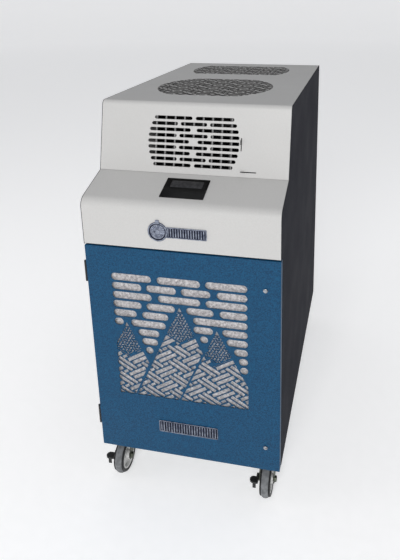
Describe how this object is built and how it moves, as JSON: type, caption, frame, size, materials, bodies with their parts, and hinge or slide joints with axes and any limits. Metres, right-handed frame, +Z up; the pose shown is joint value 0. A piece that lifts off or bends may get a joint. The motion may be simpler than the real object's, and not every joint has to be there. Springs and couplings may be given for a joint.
{
  "type": "commercial dehumidifier",
  "caption": "Commercial dehumidifier in a folded sheet-steel cabinet: hinged perforated door over a filter, sloped control fascia, adjustable air vent, top fan grilles and swivel casters.",
  "frame": {"origin": "on the floor, under the middle of the cabinet", "axes": "+Z up, the door faces -Y, +X to the right of a person facing the door"},
  "size_m": [0.514, 0.963, 1.082],
  "materials": {
    "blue_powder_coat": "satin",
    "light_grey_powder_coat": "satin",
    "charcoal_powder_coat": "satin",
    "galvanised_steel": "satin",
    "window_plastic": "gloss",
    "badge_metal": "satin",
    "gasket_rubber": "matte",
    "hinge_steel": "satin",
    "filter_aluminium": "satin",
    "vane_paint": "satin",
    "black_plastic": "matte",
    "coil_aluminium": "satin",
    "compressor_paint": "gloss",
    "mount_rubber": "matte",
    "copper": "satin",
    "motor_steel": "satin",
    "zinc_fastener": "satin",
    "latch_chrome": "gloss",
    "caster_zinc": "satin",
    "wheel_plastic": "satin",
    "tyre_rubber": "matte"
  },
  "bodies": {
    "cabinet": {"base_pan": "galvanised_steel", "cabinet_hinges": "hinge_steel", "caster_plates": "caster_zinc", "compressor": "compressor_paint", "compressor_mounts": "mount_rubber", "condenser_coil": "coil_aluminium", "control_fascia": "light_grey_powder_coat", "cord_gland": "black_plastic", "deflector_box": "vane_paint", "display_window": "window_plastic", "door_gasket": "gasket_rubber", "drain_pan": "black_plastic", "electrical_box": "galvanised_steel", "evaporator_coil": "coil_aluminium", "fan_deck": "galvanised_steel", "fan_motors": "motor_steel", "fascia_badge": "badge_metal", "fasteners": "zinc_fastener", "front_frame": "galvanised_steel", "left_side_panel": "charcoal_powder_coat", "rear_panel": "charcoal_powder_coat", "refrigerant_pipes": "copper", "right_side_panel": "charcoal_powder_coat", "top_hood": "light_grey_powder_coat"},
    "door": {"door_panel": "blue_powder_coat", "door_badge": "badge_metal", "mesh_filter": "filter_aluminium", "door_hinge_leaves": "hinge_steel"},
    "upper_fastener": {"upper_latch": "latch_chrome"},
    "lower_fastener": {"lower_latch": "latch_chrome"},
    "vane_lever": {"vane_link": "black_plastic"},
    "vane_1_body": {"vane_1": "vane_paint"},
    "vane_2_body": {"vane_2": "vane_paint"},
    "vane_3_body": {"vane_3": "vane_paint"},
    "vane_4_body": {"vane_4": "vane_paint"},
    "vane_5_body": {"vane_5": "vane_paint"},
    "vane_6_body": {"vane_6": "vane_paint"},
    "vane_7_body": {"vane_7": "vane_paint"},
    "vane_8_body": {"vane_8": "vane_paint"},
    "vane_9_body": {"vane_9": "vane_paint"},
    "blade_lever": {"blade_link": "black_plastic"},
    "blade_1_body": {"blade_1": "black_plastic"},
    "blade_2_body": {"blade_2": "black_plastic"},
    "blade_3_body": {"blade_3": "black_plastic"},
    "front_fan_wheel": {"front_fan": "black_plastic"},
    "rear_fan_wheel": {"rear_fan": "black_plastic"},
    "front_left_swivel": {"front_left_fork": "caster_zinc"},
    "front_left_roller": {"front_left_wheel": "wheel_plastic", "front_left_tyre": "tyre_rubber"},
    "front_left_pedal": {"front_left_brake": "caster_zinc"},
    "front_right_swivel": {"front_right_fork": "caster_zinc"},
    "front_right_roller": {"front_right_wheel": "wheel_plastic", "front_right_tyre": "tyre_rubber"},
    "front_right_pedal": {"front_right_brake": "caster_zinc"},
    "rear_left_swivel": {"rear_left_fork": "caster_zinc"},
    "rear_left_roller": {"rear_left_wheel": "wheel_plastic", "rear_left_tyre": "tyre_rubber"},
    "rear_right_swivel": {"rear_right_fork": "caster_zinc"},
    "rear_right_roller": {"rear_right_wheel": "wheel_plastic", "rear_right_tyre": "tyre_rubber"}
  },
  "joints": [
    {"name": "door_hinge", "type": "hinge", "parent": "cabinet", "child": "door", "pos_m": [-0.257, -0.4668, 0.4415], "axis": [0, 0, -1], "range_deg": [0, 170]},
    {"name": "upper_fastener_turn", "type": "hinge", "parent": "door", "child": "upper_fastener", "pos_m": [0.2155, -0.47, 0.6595], "axis": [0, 1, 0], "range_deg": [0, 90]},
    {"name": "lower_fastener_turn", "type": "hinge", "parent": "door", "child": "lower_fastener", "pos_m": [0.2155, -0.47, 0.1935], "axis": [0, 1, 0], "range_deg": [0, 90]},
    {"name": "vane_lever_slide", "type": "slide", "parent": "cabinet", "child": "vane_lever", "axis": [1, 0, 0], "range_m": [0, 0.02873]},
    {"name": "vane_1_turn", "type": "hinge", "parent": "cabinet", "child": "vane_1_body", "pos_m": [-0.1012, -0.32355, 0.98533], "axis": [0, -0.2482, -0.9687], "range_deg": [-0.5, 40.5]},
    {"name": "vane_2_turn", "type": "hinge", "parent": "cabinet", "child": "vane_2_body", "pos_m": [-0.0759, -0.32355, 0.98533], "axis": [0, -0.2482, -0.9687], "range_deg": [-0.5, 40.5]},
    {"name": "vane_3_turn", "type": "hinge", "parent": "cabinet", "child": "vane_3_body", "pos_m": [-0.0506, -0.32355, 0.98533], "axis": [0, -0.2482, -0.9687], "range_deg": [-0.5, 40.5]},
    {"name": "vane_4_turn", "type": "hinge", "parent": "cabinet", "child": "vane_4_body", "pos_m": [-0.0253, -0.32355, 0.98533], "axis": [0, -0.2482, -0.9687], "range_deg": [-0.5, 40.5]},
    {"name": "vane_5_turn", "type": "hinge", "parent": "cabinet", "child": "vane_5_body", "pos_m": [0, -0.32355, 0.98533], "axis": [0, -0.2482, -0.9687], "range_deg": [-0.5, 40.5]},
    {"name": "vane_6_turn", "type": "hinge", "parent": "cabinet", "child": "vane_6_body", "pos_m": [0.0253, -0.32355, 0.98533], "axis": [0, -0.2482, -0.9687], "range_deg": [-0.5, 40.5]},
    {"name": "vane_7_turn", "type": "hinge", "parent": "cabinet", "child": "vane_7_body", "pos_m": [0.0506, -0.32355, 0.98533], "axis": [0, -0.2482, -0.9687], "range_deg": [-0.5, 40.5]},
    {"name": "vane_8_turn", "type": "hinge", "parent": "cabinet", "child": "vane_8_body", "pos_m": [0.0759, -0.32355, 0.98533], "axis": [0, -0.2482, -0.9687], "range_deg": [-0.5, 40.5]},
    {"name": "vane_9_turn", "type": "hinge", "parent": "cabinet", "child": "vane_9_body", "pos_m": [0.1012, -0.32355, 0.98533], "axis": [0, -0.2482, -0.9687], "range_deg": [-0.5, 40.5]},
    {"name": "blade_lever_slide", "type": "slide", "parent": "cabinet", "child": "blade_lever", "axis": [0, 0.2482, 0.9687], "range_m": [-0.01549, 0.00451]},
    {"name": "blade_1_turn", "type": "hinge", "parent": "cabinet", "child": "blade_1_body", "pos_m": [0, -0.27997, 0.92977], "axis": [1, 0, 0], "range_deg": [-33, 10.5]},
    {"name": "blade_2_turn", "type": "hinge", "parent": "cabinet", "child": "blade_2_body", "pos_m": [0, -0.2693, 0.97143], "axis": [1, 0, 0], "range_deg": [-33, 10.5]},
    {"name": "blade_3_turn", "type": "hinge", "parent": "cabinet", "child": "blade_3_body", "pos_m": [0, -0.25863, 1.01308], "axis": [1, 0, 0], "range_deg": [-33, 10.5]},
    {"name": "front_fan_spin", "type": "hinge", "parent": "cabinet", "child": "front_fan_wheel", "pos_m": [-0.01, -0.059, 1.028], "axis": [0, 0, 1], "continuous": true},
    {"name": "rear_fan_spin", "type": "hinge", "parent": "cabinet", "child": "rear_fan_wheel", "pos_m": [-0.01, 0.294, 1.028], "axis": [0, 0, 1], "continuous": true},
    {"name": "front_left_swivel_turn", "type": "hinge", "parent": "cabinet", "child": "front_left_swivel", "pos_m": [-0.2125, -0.392, 0.111], "axis": [0, 0, 1], "continuous": true},
    {"name": "front_left_wheel_roll", "type": "hinge", "parent": "front_left_swivel", "child": "front_left_roller", "pos_m": [-0.2125, -0.428, 0.05], "axis": [1, 0, 0], "continuous": true},
    {"name": "front_left_brake_press", "type": "hinge", "parent": "front_left_swivel", "child": "front_left_pedal", "pos_m": [-0.2355, -0.428, 0.05], "axis": [1, 0, 0], "range_deg": [0, 15]},
    {"name": "front_right_swivel_turn", "type": "hinge", "parent": "cabinet", "child": "front_right_swivel", "pos_m": [0.2125, -0.392, 0.111], "axis": [0, 0, 1], "continuous": true},
    {"name": "front_right_wheel_roll", "type": "hinge", "parent": "front_right_swivel", "child": "front_right_roller", "pos_m": [0.2125, -0.428, 0.05], "axis": [1, 0, 0], "continuous": true},
    {"name": "front_right_brake_press", "type": "hinge", "parent": "front_right_swivel", "child": "front_right_pedal", "pos_m": [0.1895, -0.428, 0.05], "axis": [1, 0, 0], "range_deg": [0, 15]},
    {"name": "rear_left_swivel_turn", "type": "hinge", "parent": "cabinet", "child": "rear_left_swivel", "pos_m": [-0.2125, 0.392, 0.111], "axis": [0, 0, 1], "continuous": true},
    {"name": "rear_left_wheel_roll", "type": "hinge", "parent": "rear_left_swivel", "child": "rear_left_roller", "pos_m": [-0.2125, 0.428, 0.05], "axis": [1, 0, 0], "continuous": true},
    {"name": "rear_right_swivel_turn", "type": "hinge", "parent": "cabinet", "child": "rear_right_swivel", "pos_m": [0.2125, 0.392, 0.111], "axis": [0, 0, 1], "continuous": true},
    {"name": "rear_right_wheel_roll", "type": "hinge", "parent": "rear_right_swivel", "child": "rear_right_roller", "pos_m": [0.2125, 0.428, 0.05], "axis": [1, 0, 0], "continuous": true}
  ],
  "couplings": [
    {"joint": "vane_1_turn", "follows": "vane_lever_slide", "rad_per_m": 24.3},
    {"joint": "vane_2_turn", "follows": "vane_lever_slide", "rad_per_m": 24.3},
    {"joint": "vane_3_turn", "follows": "vane_lever_slide", "rad_per_m": 24.3},
    {"joint": "vane_4_turn", "follows": "vane_lever_slide", "rad_per_m": 24.3},
    {"joint": "vane_5_turn", "follows": "vane_lever_slide", "rad_per_m": 24.3},
    {"joint": "vane_6_turn", "follows": "vane_lever_slide", "rad_per_m": 24.3},
    {"joint": "vane_7_turn", "follows": "vane_lever_slide", "rad_per_m": 24.3},
    {"joint": "vane_8_turn", "follows": "vane_lever_slide", "rad_per_m": 24.3},
    {"joint": "vane_9_turn", "follows": "vane_lever_slide", "rad_per_m": 24.3},
    {"joint": "blade_1_turn", "follows": "blade_lever_slide", "rad_per_m": 36.521},
    {"joint": "blade_2_turn", "follows": "blade_lever_slide", "rad_per_m": 36.521},
    {"joint": "blade_3_turn", "follows": "blade_lever_slide", "rad_per_m": 36.521}
  ]
}
